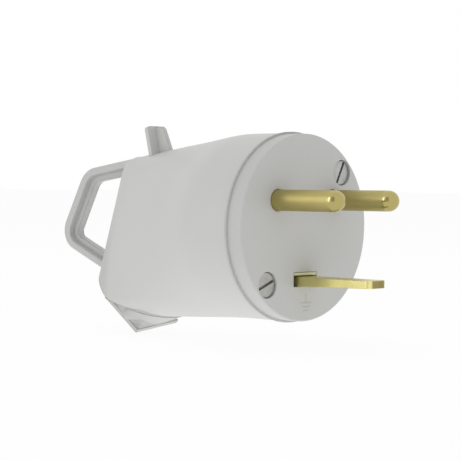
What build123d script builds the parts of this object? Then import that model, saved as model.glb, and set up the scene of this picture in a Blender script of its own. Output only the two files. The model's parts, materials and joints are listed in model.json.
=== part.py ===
from build123d import *
import os
from math import atan2, cos, hypot, radians, sin, sqrt, tan

# Rewirable mains plug: two round line pins, a flat earth blade, a ring handle and a slanted cord outlet.
# Millimetres. The origin is the middle of the face, +X runs out along the pins and +Z is up.

# Clearances
slide_gap = 0.1
thread_gap = 0.05

# Line pins
pin_diameter = 4.8
pin_length = 19.0
pin_spacing = 19.0
pin_height = 6.3
pin_neck_depth = 0.6
pin_neck_diameter = 4.0
pin_shank_diameter = 5.6
pin_collar_diameter = 7.8
pin_collar_thickness = 1.6
pin_post_diameter = 6.4
pin_post_length = 13.6
wire_hole_diameter = 3.0
wire_hole_from_end = 5.0
line_screw_diameter = 3.5
line_screw_head_diameter = 5.2
line_screw_head_height = 1.6

# Earth blade, the strap above it and their terminal
blade_drop = 17.5
blade_length = 21.4
blade_width = 6.1
blade_thickness = 2.2
blade_tip_thickness = 1.7
blade_corner_radius = 1.3
blade_shoulder_width = 9.6
blade_shoulder_thickness = 1.6
blade_tail_length = 11.6
strap_width = 7.6
strap_thickness = 0.9
strap_edge_thickness = 0.65
strap_edge_length = 2.5
slot_side_room = 0.9
earth_screw_from_end = 4.0
earth_screw_diameter = 3.5
earth_screw_head_diameter = 6.0
earth_screw_head_height = 1.8
earth_washer_diameter = 6.8
earth_washer_thickness = 0.8

# Pin base
face_inset = 0.2
face_edge_radius = 0.4
rim_depth = 4.2
lip_width = 0.4
lip_proud = 0.3
spigot_depth = 1.8
collar_rim_wall = 1.4

# Screws that hold the base on the housing, and their inserts
cover_screw_edge = 3.55
cover_screw_diameter = 3.5
cover_screw_length = 12.5
cover_screw_head_diameter = 5.6
cover_screw_head_height = 2.0
cover_screw_sink = 0.5
cover_screw_hole_room = 0.15
upper_slot_turn = 27.0
lower_slot_turn = 69.0
screw_slot_width = 0.7
screw_slot_depth = 0.9
insert_diameter = 5.0
insert_length = 7.0
boss_wall = 0.6
boss_length = 10.4
boss_to_pin_gap = 0.13

# Terminal carrier and cord clamp
carrier_thickness = 3.0
carrier_edge = 1.65
carrier_screw_diameter = 3.0
carrier_screw_depth = 3.6
carrier_screw_head_diameter = 5.2
carrier_screw_head_height = 1.8
carrier_screw_side = 11.5
carrier_screw_drop = 4.5
barrier_thickness = 1.6
barrier_length = 14.0
barrier_height = 12.0
tongue_drop = 9.4
tongue_length = 28.0
tongue_width = 16.0
tongue_thickness = 2.5
tongue_window_length = 12.0
tongue_window_width = 9.0
tongue_boss_diameter = 5.6
tongue_boss_depth = 3.0
clamp_bar_length = 6.0
clamp_bar_thickness = 3.4
clamp_groove_radius = 7.0
clamp_groove_depth = 1.2
clamp_screw_spacing = 12.0
clamp_screw_diameter = 3.0
clamp_screw_head_diameter = 5.2
clamp_screw_head_height = 1.8

# Housing: round collar in front, narrow leaning end at the rear
wall = 2.0
collar_radius = 21.75
collar_length = 12.9
collar_run_out = 3.0
body_length = 55.9
rear_lean = 14.0
rear_top = 16.6
rear_bottom = -24.2
rear_top_half_width = 5.3
rear_bottom_half_width = 8.0
rear_crown_flat = 0.7
rear_bottom_corner = 5.0
rear_edge_rounding = 1.5

# Slanted underside and the cord outlet in it
underside_from_seat = 39.4
underside_height = -22.9
underside_rise = 13.0
underside_corner = 7.5
outlet_from_seat = 50.0
outlet_slope = 41.0
outlet_drop = 2.35
lip_plate_length = 15.2
lip_plate_width = 15.9
lip_plate_back = 0.8
lip_plate_side = 0.65
lip_plate_thickness = 1.0
lip_plate_turn = -8.0
neck_top_length = 14.8
neck_top_width = 15.2
neck_top_from_seat = 45.0
neck_foot_length = 9.6
neck_foot_width = 13.6
neck_depth = 7.0
sleeve_diameter = 11.2
sleeve_reach = 10.0
cord_bore_diameter = 8.6
cord_bore_flare = 1.2
catch_height = 0.6
catch_width = 6.0

# Ring handle
loop_band_width = 4.8
loop_band_thickness = 2.1
loop_band_rounding = 0.8
loop_rear_extra = 0.7
loop_rib_width = 2.0
loop_rib_height = 1.55
loop_upper_length = 18.6
loop_upper_fall = 8.6
loop_rear_length = 21.2
loop_rear_lean = 28.8
loop_lower_fall = 22.0
loop_upper_radius = 7.0
loop_lower_radius = 5.2
loop_below_top = 0.5
loop_root_depth = 6.0

# Tab on top of the housing
tab_from_rear = 8.1
tab_width = 6.2
tab_thickness = 1.2
tab_corner = 0.8
tab_height = 6.7
tab_lean = 14.0
tab_root = 1.2
tab_gusset_thickness = 1.0
tab_gusset_top = 2.7
tab_gusset_fall = 1.15
tab_gusset_foot = 4.0

# Planes along the pins' axis
lip_front = -rim_depth
seat = lip_front - lip_width
base_back = seat - spigot_depth
carrier_back = base_back - carrier_thickness
collar_back = seat - collar_length
collar_seat = base_back + pin_collar_thickness
shoulder_seat = base_back + blade_shoulder_thickness
rear_middle = seat - body_length

# Radii that follow from the collar
face_radius = collar_radius - face_inset
lip_radius = collar_radius + lip_proud
spigot_radius = collar_radius - collar_rim_wall - slide_gap
cover_screw_circle = face_radius - cover_screw_edge
boss_radius = insert_diameter / 2 + boss_wall
cover_screw_seat = -cover_screw_sink - cover_screw_head_height
cover_screw_tip = cover_screw_seat - cover_screw_length

# Heights that follow from the pins' line
blade_top = pin_height - blade_drop
strap_top = blade_top + strap_thickness
washer_top = strap_top + earth_washer_thickness
blade_bottom = blade_top - blade_thickness
tongue_top = pin_height - tongue_drop
tongue_bottom = tongue_top - tongue_thickness
blade_end = base_back - blade_tail_length
earth_screw_x = blade_end + earth_screw_from_end
pin_sides = {"left": -pin_spacing / 2, "right": pin_spacing / 2}
screw_sides = {"left": -1, "right": 1}

# Places of the two cover screws on the face, clear of the pins, with the turn of each slot
cover_screw_z = pin_height + pin_post_diameter / 2 + boss_radius + boss_to_pin_gap
cover_screw_y = sqrt(cover_screw_circle**2 - cover_screw_z**2)
cover_screws = {
    "upper": (cover_screw_y, cover_screw_z, upper_slot_turn),
    "lower": (-cover_screw_y, -cover_screw_z, lower_slot_turn),
}


def rod_x(start, end, diameter, y, z):
    """Cylinder along X between two planes."""
    return Pos((start + end) / 2, y, z) * Rot(0, 90, 0) * Cylinder(diameter / 2, abs(end - start))


def rod_z(bottom, top, diameter, x, y):
    """Upright cylinder between two heights."""
    return Pos(x, y, (bottom + top) / 2) * Cylinder(diameter / 2, top - bottom)


def block(x_range, y_range, z_range):
    """Box between three pairs of limits."""
    lengths = [abs(high - low) for low, high in (x_range, y_range, z_range)]
    middles = [(low + high) / 2 for low, high in (x_range, y_range, z_range)]
    return Pos(*middles) * Box(*lengths)


def corner_arc(before, corner, after, radius):
    """Start, middle and end of the arc that rounds a corner."""
    back = (before - corner).normalized()
    ahead = (after - corner).normalized()
    half = radians(back.get_angle(ahead)) / 2
    run = radius / tan(half)
    middle = corner + (back + ahead).normalized() * (radius / sin(half) - radius)
    return corner + back * run, middle, corner + ahead * run


def rounded_edges(points, radii):
    """Closed outline of lines and arcs that starts with the line from the first corner to the second."""
    count = len(points)
    arcs = [corner_arc(points[i - 1], points[i], points[(i + 1) % count], radii[i]) for i in range(count)]
    edges = []
    for i in range(count):
        following = arcs[(i + 1) % count]
        edges.append(Line(arcs[i][2], following[0]))
        if radii[(i + 1) % count] > 0:
            edges.append(ThreePointArc(*following))
    return edges


def side_plate(points, radii, width):
    """Plate of a given width across Y, from an outline of X and Z values."""
    outline = rounded_edges([Vector(x, 0, z) for x, z in points], radii)
    return extrude(make_face(outline), amount=width / 2, dir=(0, 1, 0), both=True)


def screw_slot(top, diameter):
    """Cut across a head that faces +Z at a given height."""
    return block(
        (-diameter, diameter),
        (-screw_slot_width / 2, screw_slot_width / 2),
        (top - screw_slot_depth, top),
    )


def slotted_screw(diameter, length, head_diameter, head_height):
    """Cheese-head screw on the Z axis, with the underside of its head at the origin."""
    point = diameter / 6
    profile = make_face(
        Polyline(
            (0, 0, head_height),
            (head_diameter / 2, 0, head_height),
            (head_diameter / 2, 0, 0),
            (diameter / 2, 0, 0),
            (diameter / 2, 0, point - length),
            (diameter / 2 - point, 0, -length),
            (0, 0, -length),
            close=True,
        )
    )
    return revolve(profile, Axis.Z) - screw_slot(head_height, head_diameter)


def rear_plane_x(z, inset=0.0):
    """X of the leaning rear plane at a height."""
    return rear_middle + inset + z * tan(radians(rear_lean))


def underside_z(x, inset=0.0):
    """Height of the slanted underside at a place along X."""
    rise = tan(radians(underside_rise))
    return underside_height + inset + rise * (seat - underside_from_seat - x)


def rear_half(inset):
    """Right half of the rear's rounded outline, from the middle of its top to the middle of its bottom."""
    top = rear_top - inset
    bottom = rear_bottom + inset
    flare = atan2(rear_bottom_half_width - rear_top_half_width, rear_top - rear_bottom)
    crown_radius = (rear_top_half_width - rear_crown_flat) * tan((radians(90) + flare) / 2)
    return FilletPolyline(
        (0, top),
        (rear_top_half_width - inset, top),
        (rear_bottom_half_width - inset, bottom),
        (0, bottom),
        radius=(crown_radius - inset, rear_bottom_corner - inset),
    )


def rear_shares(outline):
    """Shares of the outline's length where its lines and arcs meet, and the middle of its long side."""
    shares = [0.0]
    for edge in outline.edges().sort_by(Axis.Y, reverse=True):
        shares.append(shares[-1] + edge.length / outline.length)
    shares.insert(3, (shares[2] + shares[3]) / 2)
    return shares


def stretches(outline, shares):
    """Cubic control points of a smooth outline, stretch by stretch."""
    rows = []
    for first, last in zip(shares, shares[1:]):
        turn = radians((outline % first).get_angle(outline % last))
        length = (last - first) * outline.length
        handle = 4 / 3 * tan(turn / 4) * length / turn if turn > 0.001 else length / 3
        leave = outline @ first + (outline % first) * handle
        arrive = outline @ last - (outline % last) * handle
        rows.append([(spot.X, spot.Y) for spot in (outline @ first, leave, arrive, outline @ last)])
    return rows


def between_rows(front, rear, share):
    """Stretches at a share of the way from the collar to the rear."""
    rows = []
    for front_row, rear_row in zip(front, rear):
        row = []
        for (y_front, z_front), (y_rear, z_rear) in zip(front_row, rear_row):
            row.append((y_front + (y_rear - y_front) * share, z_front + (z_rear - z_front) * share))
        rows.append(row)
    return rows


def section(rows, middle_x, lean):
    """Face from the stretches of a half outline and their mirror image, on a plane that leans with height."""
    edges = [Bezier(*[(middle_x + lean * z, y, z) for y, z in row]) for row in rows]
    for row in reversed(rows):
        edges.append(Bezier(*[(middle_x + lean * z, -y, z) for y, z in reversed(row)]))
    return make_face(edges)


def tapered_body(inset, end_inset):
    """Straight collar that runs out smoothly into a straight taper to the leaning rear plane."""
    lean = tan(radians(rear_lean))
    end = rear_plane_x(0, end_inset)
    outline = rear_half(inset)
    shares = rear_shares(outline)
    rear = stretches(outline, shares)
    front = stretches(CenterArc((0, 0), collar_radius - inset, 90, -180), shares)
    start = collar_back + collar_run_out
    front_face = section(front, start, 0)
    taper = collar_back - end
    shares = [collar_run_out * step / taper for step in (1, 2)]
    middle = (1 + shares[-1]) / 2
    run_out = section(between_rows(front, rear, shares[0] / 4), collar_back, lean * shares[0] / 4)
    faces = [front_face, run_out]
    for share in (*shares, middle):
        faces.append(section(between_rows(front, rear, share), collar_back - taper * share, lean * share))
    faces.append(section(rear, end, lean))
    return loft(faces) + extrude(front_face, amount=seat - start, dir=(1, 0, 0))


def rear_cap():
    """Rounded edge that closes the rear of the tapered body."""
    lean = tan(radians(rear_lean))
    faces = []
    for step in (0, 30, 60, 90):
        outline = rear_half(rear_edge_rounding * (1 - cos(radians(step))))
        rows = stretches(outline, rear_shares(outline))
        depth = rear_edge_rounding * (1 - sin(radians(step)))
        faces.append(section(rows, rear_plane_x(0, depth), lean))
    return loft(faces)


def above_underside(inset):
    """Room above the slanted underside, rounded where it meets the rear plane."""
    ahead = 0
    high = 2 * collar_radius
    behind = slide_gap
    rear_high = rear_plane_x(high, inset - behind)
    rise = tan(radians(underside_rise))
    lean = tan(radians(rear_lean))
    # The rear plane and the underside cross where both give the same X.
    corner_z = underside_z(rear_plane_x(0, inset - behind), inset) / (1 + rise * lean)
    corner_x = rear_plane_x(corner_z, inset - behind)
    points = [(ahead, high), (rear_high, high), (corner_x, corner_z), (ahead, underside_z(ahead, inset))]
    radii = [0, 0, underside_corner - inset, 0]
    return side_plate(points, radii, 4 * collar_radius)


def outlet_plane(distance=outlet_drop):
    """Plane across the cord, its Z leaving along the cord, at a distance outside the underside."""
    slope = radians(outlet_slope)
    along = Vector(-sin(slope), 0, -cos(slope))
    crossing_x = seat - outlet_from_seat
    crossing = Vector(crossing_x, 0, underside_z(crossing_x))
    return Plane(origin=crossing + along * distance, x_dir=(0, 1, 0), z_dir=along)


def outlet_rod(diameter, near, far):
    """Rod on the outlet's axis between two distances behind the mouth."""
    return outlet_plane() * Pos(0, 0, -(near + far) / 2) * Cylinder(diameter / 2, far - near)


def ring_handle():
    """Loop behind the rear plane: a flat band, thicker at the rear, with a rib along its inside."""
    fall = radians(loop_upper_fall)
    lean = radians(loop_rear_lean)
    lower = radians(loop_lower_fall)
    start_z = rear_top - loop_below_top
    start_x = rear_plane_x(start_z)
    upper_x = start_x - loop_upper_length * cos(fall)
    upper_z = start_z - loop_upper_length * sin(fall)
    lower_x = upper_x - loop_rear_length * sin(lean)
    lower_z = upper_z - loop_rear_length * cos(lean)
    lower_leg = rear_plane_x(rear_bottom / 2) + loop_root_depth - lower_x
    root_x = start_x + loop_root_depth
    radii = [0, loop_upper_radius, loop_lower_radius, 0]

    def outline(forward):
        points = [
            (root_x, start_z + loop_root_depth * tan(fall)),
            (upper_x + forward, upper_z + forward * tan(fall)),
            (lower_x + forward, lower_z - forward * tan(lower)),
            (lower_x + lower_leg, lower_z - lower_leg * tan(lower)),
        ]
        return make_face(rounded_edges([Vector(x, 0, z) for x, z in points], radii))

    def ring(outer_inset, inner_inset, width):
        outside = offset(outline(0), -outer_inset) if outer_inset else outline(0)
        face = outside - offset(outline(loop_rear_extra), -inner_inset)
        return extrude(face, amount=width / 2, dir=(0, 1, 0), both=True)

    band = ring(0, loop_band_thickness, loop_band_width)
    sides = [band.faces().sort_by(Axis.Y)[end] for end in (0, -1)]
    band = fillet([edge for side in sides for edge in side.outer_wire().edges()], loop_band_rounding)
    rib = ring(loop_band_thickness / 2, loop_band_thickness + loop_rib_height, loop_rib_width)
    return band + rib


def crown_z(x):
    """Height of the straight line along the housing's top from the collar to the rear."""
    rear_x = rear_plane_x(rear_top)
    return rear_top + (collar_radius - rear_top) * (x - rear_x) / (collar_back - rear_x)


def tab():
    """Small plate that stands on the ridge, with a gusset in front of it."""
    foot_x = rear_plane_x(rear_top) + tab_from_rear
    foot_z = crown_z(foot_x)
    plate = block((-tab_thickness, 0), (-tab_width / 2, tab_width / 2), (-tab_root, tab_height))
    plate = fillet(plate.edges().filter_by(Axis.X).group_by(Axis.Z)[-1], tab_corner)
    gusset = side_plate(
        [
            (-tab_thickness / 2, tab_height),
            (tab_gusset_top, tab_height - tab_gusset_fall),
            (tab_gusset_foot, -tab_root),
            (-tab_thickness / 2, -tab_root),
        ],
        [0, tab_corner, 0, 0],
        tab_gusset_thickness,
    )
    return Pos(foot_x, 0, foot_z) * Rot(0, -tab_lean, 0) * (plate + gusset)


def boss_rods(start, length, diameter):
    """Rods of one size on both cover-screw axes, from a plane towards the rear."""
    return [rod_x(start - length, start, diameter, y, z) for y, z, _ in cover_screws.values()]


def make_housing():
    """Hollow moulding with its collar, bosses, handle, tab and outlet opening."""
    body = tapered_body(0, rear_edge_rounding) + rear_cap()
    body = body & above_underside(0)
    cavity = tapered_body(wall, wall) & above_underside(wall)
    shell = body + ring_handle() + tab() - cavity
    boss_front = base_back - slide_gap
    shell += [boss & body for boss in boss_rods(boss_front, boss_length, 2 * boss_radius)]
    shell -= rod_x(boss_front, seat, 2 * (collar_radius - collar_rim_wall), 0, 0)
    shell -= boss_rods(boss_front, insert_length, insert_diameter + 2 * thread_gap)
    screw_room = boss_front - cover_screw_tip + slide_gap
    shell -= boss_rods(boss_front, screw_room, cover_screw_diameter + 2 * cover_screw_hole_room)
    return shell - outlet_rod(sleeve_diameter + 2 * slide_gap, 0, sleeve_reach)


def sleeve_neck():
    """Flared neck that hangs from the slanted underside down to the lip of the outlet."""
    rise = radians(underside_rise)
    down = Vector(-sin(rise), 0, -cos(rise))
    top_x = seat - neck_top_from_seat
    top_plane = Plane(origin=(top_x, 0, underside_z(top_x, -slide_gap)), x_dir=(0, 1, 0), z_dir=down)
    foot_plane = Plane(origin=outlet_plane(neck_depth).origin, x_dir=(0, 1, 0), z_dir=down)
    top = top_plane * Ellipse(neck_top_width / 2, neck_top_length / 2)
    foot = foot_plane * Ellipse(neck_foot_width / 2, neck_foot_length / 2)
    beyond_lip = Pos(0, 0, collar_radius - lip_plate_thickness / 2) * Box(*[2 * collar_radius] * 3)
    return loft([top, foot]) - outlet_plane() * beyond_lip


def make_outlet_sleeve():
    """Mouthpiece of the cord outlet: a square lip and a neck outside, a tube that catches inside the wall."""
    place = Rot(0, 0, lip_plate_turn) * Pos(lip_plate_side, -lip_plate_back)
    plate = place * Rectangle(lip_plate_width, lip_plate_length)
    lip = outlet_plane() * extrude(plate, amount=-lip_plate_thickness) - above_underside(-slide_gap)
    lip = lip.solids().sort_by(Axis.X)[-1]
    tube = outlet_rod(sleeve_diameter, lip_plate_thickness / 2, sleeve_reach)
    lug = outlet_rod(sleeve_diameter + 2 * catch_height, 0, sleeve_reach) & above_underside(wall + slide_gap)
    half_depth = sleeve_diameter / 2
    front = Pos(0, half_depth, -sleeve_reach / 2) * Box(catch_width, half_depth, sleeve_reach)
    sleeve = lip + sleeve_neck() + tube + (lug & outlet_plane() * front)
    flare = Pos(0, 0, -cord_bore_flare / 2) * Cone(
        cord_bore_diameter / 2, cord_bore_diameter / 2 + cord_bore_flare, cord_bore_flare
    )
    return sleeve - outlet_rod(cord_bore_diameter, 0, sleeve_reach) - outlet_plane() * flare


def make_pin_base():
    """Round front with its lip, spigot, counterbores, pin holes and blade slot."""
    disc = rod_x(lip_front, 0, 2 * face_radius, 0, 0)
    disc = fillet(disc.faces().sort_by(Axis.X)[-1].edges(), face_edge_radius)
    base = disc + rod_x(seat, lip_front, 2 * lip_radius, 0, 0)
    base += rod_x(base_back, seat, 2 * spigot_radius, 0, 0)
    for y, z, _ in cover_screws.values():
        base -= rod_x(cover_screw_seat, 0, cover_screw_head_diameter + 4 * slide_gap, y, z)
        base -= rod_x(base_back, 0, cover_screw_diameter + 2 * cover_screw_hole_room, y, z)
    for y in pin_sides.values():
        base -= rod_x(-pin_neck_depth, 0, pin_diameter + 2 * slide_gap, y, pin_height)
        base -= rod_x(base_back, -pin_neck_depth, pin_shank_diameter + 2 * slide_gap, y, pin_height)
        base -= rod_x(base_back, collar_seat, pin_collar_diameter + 2 * slide_gap, y, pin_height)
    for side in screw_sides.values():
        base -= rod_x(
            base_back,
            base_back + carrier_screw_depth + slide_gap,
            carrier_screw_diameter + 2 * thread_gap,
            side * carrier_screw_side,
            -carrier_screw_drop,
        )
    half_slot = blade_width / 2 + slot_side_room
    base -= block((base_back, 0), (-half_slot, half_slot), (blade_bottom - slide_gap, strap_top + slide_gap))
    half_shoulder = blade_shoulder_width / 2 + slide_gap
    return base - block(
        (base_back, shoulder_seat),
        (-half_shoulder, half_shoulder),
        (blade_bottom - slide_gap, blade_top + slide_gap),
    )


def make_line_pin(y):
    """Turned pin with a round end, a neck in the face, a trapped collar and a drilled post."""
    post_end = base_back - pin_post_length
    pin = rod_x(0, pin_length - pin_diameter / 2, pin_diameter, y, pin_height)
    pin += rod_x(-pin_neck_depth, 0, pin_neck_diameter, y, pin_height)
    pin += Pos(pin_length - pin_diameter / 2, y, pin_height) * Sphere(pin_diameter / 2)
    pin += rod_x(collar_seat, -pin_neck_depth, pin_shank_diameter, y, pin_height)
    pin += rod_x(base_back, collar_seat, pin_collar_diameter, y, pin_height)
    pin += rod_x(post_end, base_back, pin_post_diameter, y, pin_height)
    wire_x = post_end + wire_hole_from_end
    below = pin_height - pin_post_diameter
    pin -= rod_z(below, pin_height + pin_post_diameter, wire_hole_diameter, wire_x, y)
    return pin - rod_x(post_end, wire_x, line_screw_diameter + 2 * thread_gap, y, pin_height)


def make_line_screw(y):
    """Screw in the end of a line pin, its point just inside the wire hole."""
    length = wire_hole_from_end - wire_hole_diameter / 4
    screw = slotted_screw(line_screw_diameter, length, line_screw_head_diameter, line_screw_head_height)
    return Pos(base_back - pin_post_length, y, pin_height) * Rot(0, -90, 0) * screw


def make_earth_blade():
    """Flat bar, thinner towards its rounded tip, with shoulders behind the face and a tapped tail."""
    side = side_plate(
        [
            (blade_end, blade_top),
            (blade_length, blade_top),
            (blade_length, blade_top - blade_tip_thickness),
            (0, blade_bottom),
            (blade_end, blade_bottom),
        ],
        [0, 0, 0, 0, 0],
        blade_width,
    )
    tip = side.edges().filter_by(Axis.Z).group_by(Axis.X)[-1]
    blade = fillet(tip, blade_corner_radius)
    half_shoulder = blade_shoulder_width / 2
    blade += block((base_back, shoulder_seat), (-half_shoulder, half_shoulder), (blade_bottom, blade_top))
    return blade - rod_z(blade_bottom, blade_top, earth_screw_diameter + 2 * thread_gap, earth_screw_x, 0)


def make_earth_strap():
    """Brass leaf on the blade, thinned at its front edge in the slot."""
    under_edge = strap_top - strap_edge_thickness
    profile = side_plate(
        [
            (blade_end, blade_top),
            (blade_end, strap_top),
            (0, strap_top),
            (0, under_edge),
            (-strap_edge_length, under_edge),
            (-strap_edge_length, blade_top),
        ],
        [0, 0, 0, 0, 0, 0],
        strap_width,
    )
    return profile - rod_z(blade_top, strap_top, earth_screw_diameter + 2 * slide_gap, earth_screw_x, 0)


def make_earth_washer():
    """Clamp washer on the strap."""
    washer = rod_z(strap_top, washer_top, earth_washer_diameter, earth_screw_x, 0)
    return washer - rod_z(strap_top, washer_top, earth_screw_diameter + 2 * slide_gap, earth_screw_x, 0)


def make_earth_screw():
    """Screw through the washer and strap into the blade."""
    length = washer_top - blade_bottom
    screw = slotted_screw(earth_screw_diameter, length, earth_screw_head_diameter, earth_screw_head_height)
    return Pos(earth_screw_x, 0, washer_top) * screw


def make_cover_screw(y, z, turn):
    """Screw in the face, with its slot turned as it was left."""
    screw = slotted_screw(
        cover_screw_diameter, cover_screw_length, cover_screw_head_diameter, cover_screw_head_height
    )
    return Pos(cover_screw_seat, y, z) * Rot(-turn, 0, 0) * Rot(0, 90, 0) * screw


def make_cover_insert(y, z):
    """Threaded brass insert in a boss of the collar."""
    front = base_back - slide_gap
    back = front - insert_length
    insert = rod_x(back, front, insert_diameter, y, z)
    return insert - rod_x(back, front, cover_screw_diameter + 2 * thread_gap, y, z)


def clamp_x():
    """Middle of the cord clamp along X, near the end of the tongue."""
    return carrier_back - tongue_length + clamp_bar_length / 2 + slide_gap


def make_terminal_carrier():
    """Insulating plate behind the base, with a barrier and the tongue of the cord clamp."""
    reach = hypot(pin_spacing / 2, pin_height) + pin_post_diameter / 2 + carrier_edge
    plate = rod_x(carrier_back, base_back, 2 * reach, 0, 0)
    half_tongue = tongue_width / 2
    tongue_end = carrier_back - tongue_length
    tongue = block((tongue_end, carrier_back), (-half_tongue, half_tongue), (tongue_bottom, tongue_top))
    window_back = earth_screw_x - tongue_window_length / 2
    tongue -= block(
        (window_back, min(window_back + tongue_window_length, carrier_back)),
        (-tongue_window_width / 2, tongue_window_width / 2),
        (tongue_bottom, tongue_top),
    )
    barrier = block(
        (carrier_back - barrier_length, carrier_back),
        (-barrier_thickness / 2, barrier_thickness / 2),
        (tongue_top, tongue_top + barrier_height),
    )
    carrier = plate + tongue + barrier
    for y, z, _ in cover_screws.values():
        carrier -= rod_x(carrier_back, base_back, 2 * (boss_radius + 2 * slide_gap), y, z)
    for y in pin_sides.values():
        carrier -= rod_x(carrier_back, base_back, pin_post_diameter + 2 * slide_gap, y, pin_height)
    half_strap = strap_width / 2 + slide_gap
    carrier -= block(
        (carrier_back, base_back),
        (-half_strap, half_strap),
        (blade_bottom - slide_gap, strap_top + slide_gap),
    )
    for side in screw_sides.values():
        carrier -= rod_x(
            carrier_back,
            base_back,
            carrier_screw_diameter + 2 * slide_gap,
            side * carrier_screw_side,
            -carrier_screw_drop,
        )
        boss_y = side * clamp_screw_spacing / 2
        boss_foot = tongue_bottom - tongue_boss_depth
        tapped = clamp_screw_diameter + 2 * thread_gap
        carrier += rod_z(boss_foot, tongue_bottom, tongue_boss_diameter, clamp_x(), boss_y)
        carrier -= rod_z(boss_foot, tongue_top, tapped, clamp_x(), boss_y)
    return carrier


def make_carrier_screw(side):
    """Screw that holds the carrier on the base."""
    length = carrier_thickness + carrier_screw_depth
    screw = slotted_screw(
        carrier_screw_diameter, length, carrier_screw_head_diameter, carrier_screw_head_height
    )
    return Pos(carrier_back, side * carrier_screw_side, -carrier_screw_drop) * Rot(0, -90, 0) * screw


def make_clamp_bar():
    """Bar across the tongue with a shallow groove for the cord."""
    half_bar = clamp_bar_length / 2
    half_width = tongue_width / 2
    top = tongue_top + clamp_bar_thickness
    bar = block((clamp_x() - half_bar, clamp_x() + half_bar), (-half_width, half_width), (tongue_top, top))
    groove_z = tongue_top + clamp_groove_depth - clamp_groove_radius
    bar -= rod_x(clamp_x() - half_bar, clamp_x() + half_bar, 2 * clamp_groove_radius, 0, groove_z)
    for side in screw_sides.values():
        y = side * clamp_screw_spacing / 2
        bar -= rod_z(tongue_top, top, clamp_screw_diameter + 2 * slide_gap, clamp_x(), y)
    return bar


def make_clamp_screw(side):
    """Screw through the clamp bar into the tongue."""
    length = clamp_bar_thickness + tongue_thickness + tongue_boss_depth - slide_gap
    screw = slotted_screw(clamp_screw_diameter, length, clamp_screw_head_diameter, clamp_screw_head_height)
    return Pos(clamp_x(), side * clamp_screw_spacing / 2, tongue_top + clamp_bar_thickness) * screw


def all_pieces():
    """Every piece of the plug by its node name."""
    pieces = {
        "housing": make_housing(),
        "outlet_sleeve": make_outlet_sleeve(),
        "pin_base": make_pin_base(),
        "terminal_carrier": make_terminal_carrier(),
        "earth_blade": make_earth_blade(),
        "earth_strap": make_earth_strap(),
        "earth_washer": make_earth_washer(),
        "earth_screw": make_earth_screw(),
        "clamp_bar": make_clamp_bar(),
    }
    for name, y in pin_sides.items():
        pieces[f"line_pin_{name}"] = make_line_pin(y)
        pieces[f"line_screw_{name}"] = make_line_screw(y)
    for name, side in screw_sides.items():
        pieces[f"carrier_screw_{name}"] = make_carrier_screw(side)
        pieces[f"clamp_screw_{name}"] = make_clamp_screw(side)
    for name, (y, z, turn) in cover_screws.items():
        pieces[f"cover_screw_{name}"] = make_cover_screw(y, z, turn)
        pieces[f"cover_insert_{name}"] = make_cover_insert(y, z)
    return pieces


if __name__ == "__main__":
    os.makedirs("parts", exist_ok=True)
    for node, shape in all_pieces().items():
        export_step(shape, f"parts/{node}.step")
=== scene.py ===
import json
from math import cos, pi, radians, sin

import bmesh
import bpy
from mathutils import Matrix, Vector
from mathutils.bvhtree import BVHTree


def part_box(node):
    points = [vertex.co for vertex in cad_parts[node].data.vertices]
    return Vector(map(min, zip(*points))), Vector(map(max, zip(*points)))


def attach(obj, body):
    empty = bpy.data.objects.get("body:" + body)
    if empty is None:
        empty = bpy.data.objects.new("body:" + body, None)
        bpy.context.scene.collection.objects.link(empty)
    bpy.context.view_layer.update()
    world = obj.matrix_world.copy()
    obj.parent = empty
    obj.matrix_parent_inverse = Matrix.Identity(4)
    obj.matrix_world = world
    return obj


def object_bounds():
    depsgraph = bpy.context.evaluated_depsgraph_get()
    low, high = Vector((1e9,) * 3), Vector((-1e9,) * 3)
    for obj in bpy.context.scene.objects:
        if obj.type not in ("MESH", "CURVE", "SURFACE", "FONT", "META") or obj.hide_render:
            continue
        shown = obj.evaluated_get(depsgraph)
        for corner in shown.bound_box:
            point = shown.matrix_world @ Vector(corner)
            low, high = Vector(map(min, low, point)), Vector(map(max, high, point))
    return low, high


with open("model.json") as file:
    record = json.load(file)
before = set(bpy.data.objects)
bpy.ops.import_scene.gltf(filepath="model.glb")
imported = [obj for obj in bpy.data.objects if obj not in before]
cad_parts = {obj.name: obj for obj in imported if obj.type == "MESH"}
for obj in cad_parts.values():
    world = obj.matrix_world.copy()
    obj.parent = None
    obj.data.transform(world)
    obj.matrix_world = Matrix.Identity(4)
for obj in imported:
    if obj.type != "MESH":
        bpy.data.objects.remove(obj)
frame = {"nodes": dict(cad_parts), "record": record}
cad_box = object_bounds()

bl_info = {
    "name": "Mains plug with ring handle",
    "version": (1, 0, 0),
    "blender": (4, 5, 0),
    "location": "View3D > Sidebar > Plug",
    "description": "Finishes, earth mark, run-outs, light and camera of a rewirable plug",
    "category": "Object",
}

MM_PER_METRE = 1000.0
WHITE = (1.0, 1.0, 1.0)


# Node building


class Signal:
    """One output socket; arithmetic on it adds Math nodes to its tree."""

    def __init__(self, tree, socket):
        self.tree = tree
        self.socket = socket

    def math(self, operation, first, second=0.0, clamp=False):
        """A Math node of two values or signals."""
        settings = {"operation": operation, "use_clamp": clamp}
        return self.tree.add("ShaderNodeMath", settings, {0: first, 1: second})

    def __add__(self, other):
        return self.math("ADD", self, other)

    def __radd__(self, other):
        return self.math("ADD", other, self)

    def __sub__(self, other):
        return self.math("SUBTRACT", self, other)

    def __rsub__(self, other):
        return self.math("SUBTRACT", other, self)

    def __mul__(self, other):
        return self.math("MULTIPLY", self, other)

    def __rmul__(self, other):
        return self.math("MULTIPLY", other, self)

    def __truediv__(self, other):
        return self.math("DIVIDE", self, other)

    def __rtruediv__(self, other):
        return self.math("DIVIDE", other, self)

    def __pow__(self, other):
        return self.math("POWER", self, other)

    def __abs__(self):
        return self.math("ABSOLUTE", self)

    def limited(self):
        """The same value kept between 0 and 1."""
        return self.math("ADD", self, 0.0, clamp=True)

    def swing(self, width):
        """A value from 0 to 1 as a swing of a total width to both sides of zero."""
        return (self - 0.5) * width


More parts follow.
